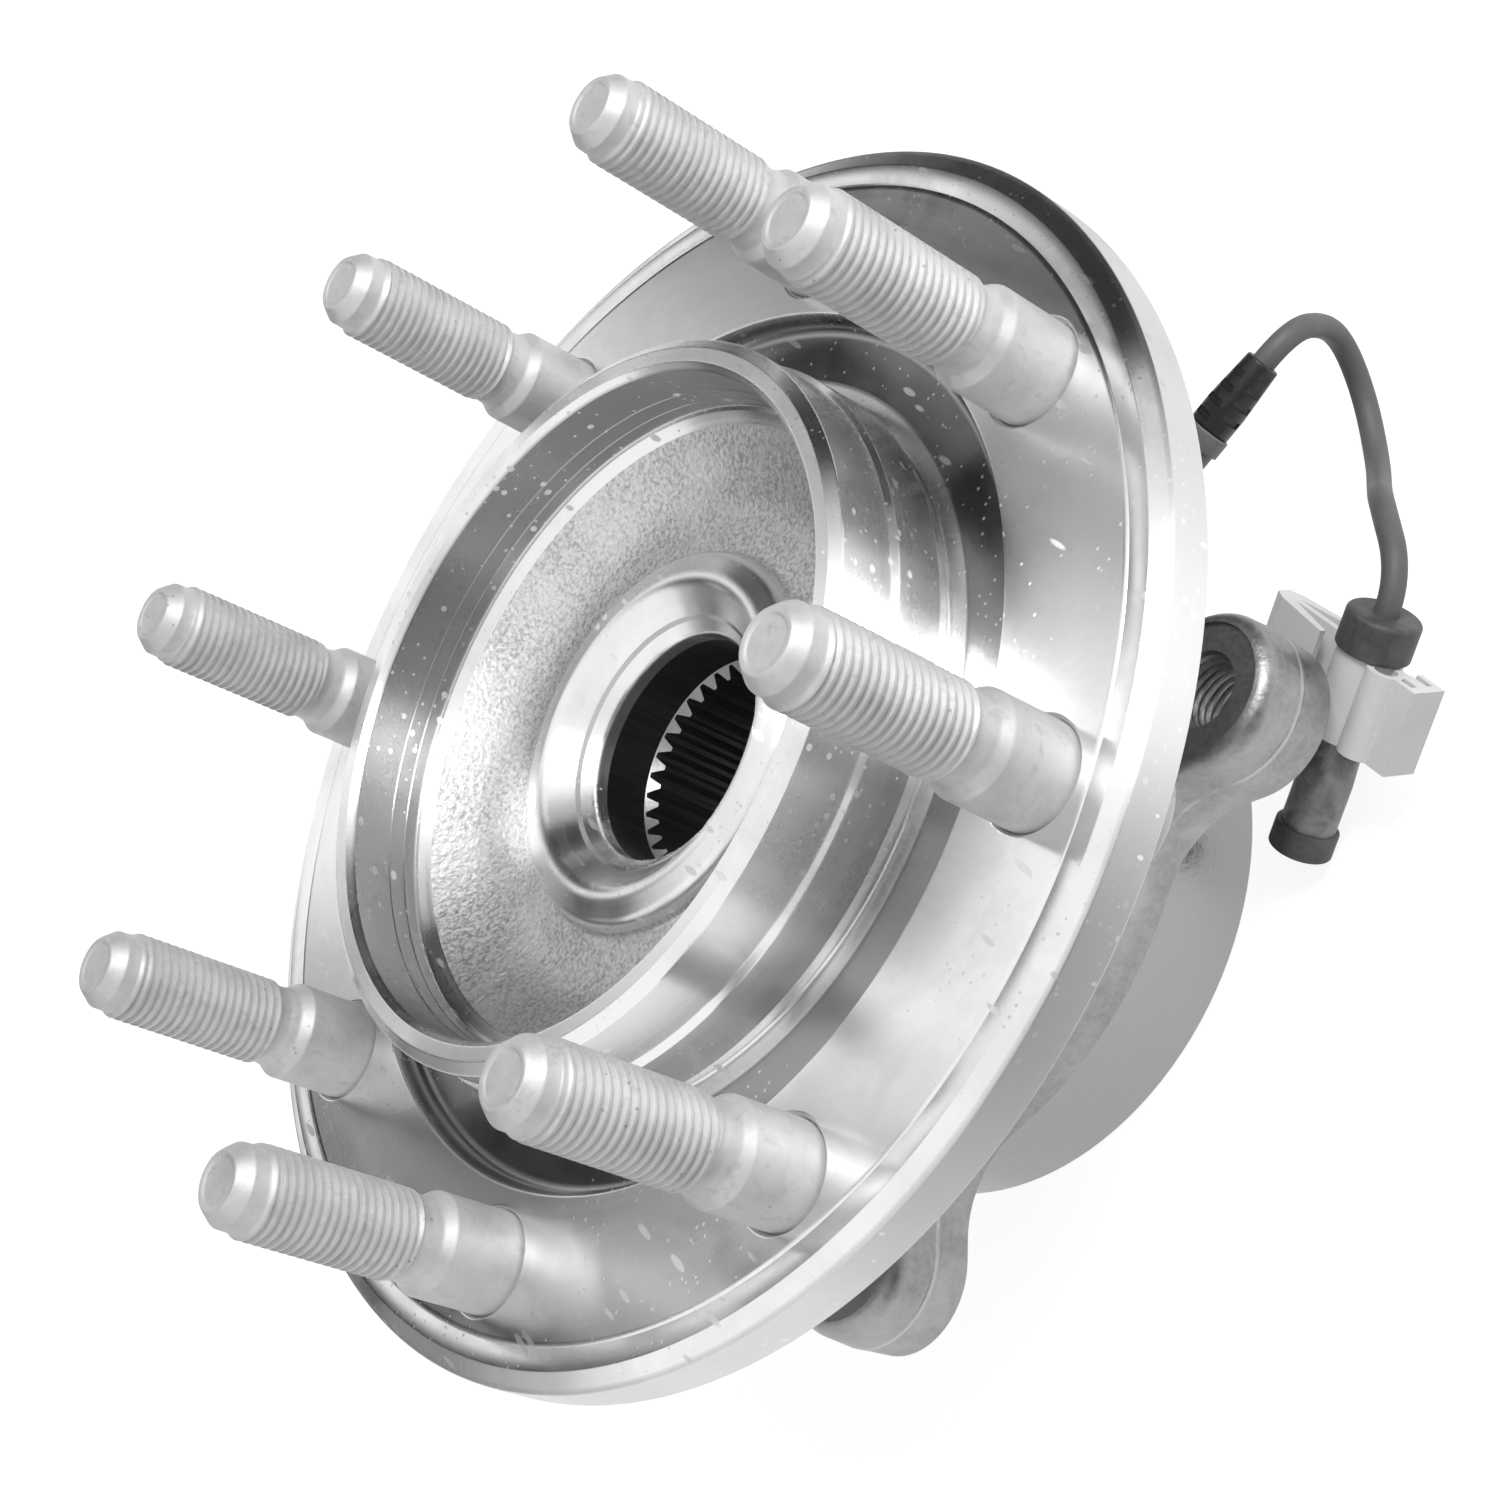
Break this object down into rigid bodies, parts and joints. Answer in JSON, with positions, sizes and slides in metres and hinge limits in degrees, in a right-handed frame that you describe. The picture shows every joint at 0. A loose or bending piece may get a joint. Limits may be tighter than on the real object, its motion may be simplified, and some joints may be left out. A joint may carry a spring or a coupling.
{
  "type": "wheel hub bearing",
  "caption": "Heavy-duty wheel hub bearing: studded wheel flange and splined spindle on tapered rollers in a lobed knuckle housing, with a speed sensor, lead and connector.",
  "frame": {"origin": "on the hub's axis, in the plane of the wheel mounting face", "axes": "+Z along the hub's axis towards the wheel; the knuckle lies towards -Z; +X lies close to the speed sensor; the studs and the knuckle lobes are symmetric to X and Y"},
  "size_m": [0.2085, 0.1994, 0.129],
  "materials": {
    "turned_steel": "turned, bright",
    "plated_steel": "zinc plated, matte",
    "forged_steel": "forged and shot-blasted",
    "bearing_steel": "ground",
    "sheet_steel": "pressed sheet",
    "rubber": "matte",
    "black_plastic": "moulded",
    "grey_plastic": "moulded",
    "terminal_brass": "tinned"
  },
  "bodies": {
    "housing": {"bearing_housing": "forged_steel", "outboard_seal_case": "sheet_steel", "outboard_seal_lip": "rubber", "inboard_seal_case": "sheet_steel", "inboard_seal_lip": "rubber", "sensor_body": "black_plastic", "sensor_o_ring": "rubber", "sensor_screw": "plated_steel", "strain_relief_boot": "rubber", "sensor_cable": "rubber", "connector_body": "black_plastic", "connector_collar": "rubber", "connector_cap": "rubber", "connector_terminals": "terminal_brass", "mounting_clip": "grey_plastic"},
    "hub": {"hub_spindle": "turned_steel", "wheel_studs": "plated_steel", "outboard_cone": "bearing_steel", "inboard_cone": "bearing_steel", "cone_spacer": "turned_steel", "tone_ring": "turned_steel", "outboard_slinger": "sheet_steel", "inboard_slinger": "sheet_steel"},
    "outboard_roller_set": {"outboard_rollers": "bearing_steel", "outboard_cage": "sheet_steel"},
    "inboard_roller_set": {"inboard_rollers": "bearing_steel", "inboard_cage": "sheet_steel"}
  },
  "joints": [
    {"name": "hub_spin", "type": "hinge", "parent": "housing", "child": "hub", "pos_m": [0, 0, -0.04642], "axis": [0, 0, 1], "continuous": true},
    {"name": "outboard_cage_spin", "type": "hinge", "parent": "housing", "child": "outboard_roller_set", "pos_m": [0, 0, -0.04642], "axis": [0, 0, 1], "continuous": true},
    {"name": "inboard_cage_spin", "type": "hinge", "parent": "housing", "child": "inboard_roller_set", "pos_m": [0, 0, -0.04642], "axis": [0, 0, 1], "continuous": true}
  ],
  "couplings": [
    {"joint": "outboard_cage_spin", "follows": "hub_spin", "ratio": 0.44281},
    {"joint": "inboard_cage_spin", "follows": "hub_spin", "ratio": 0.44281}
  ]
}
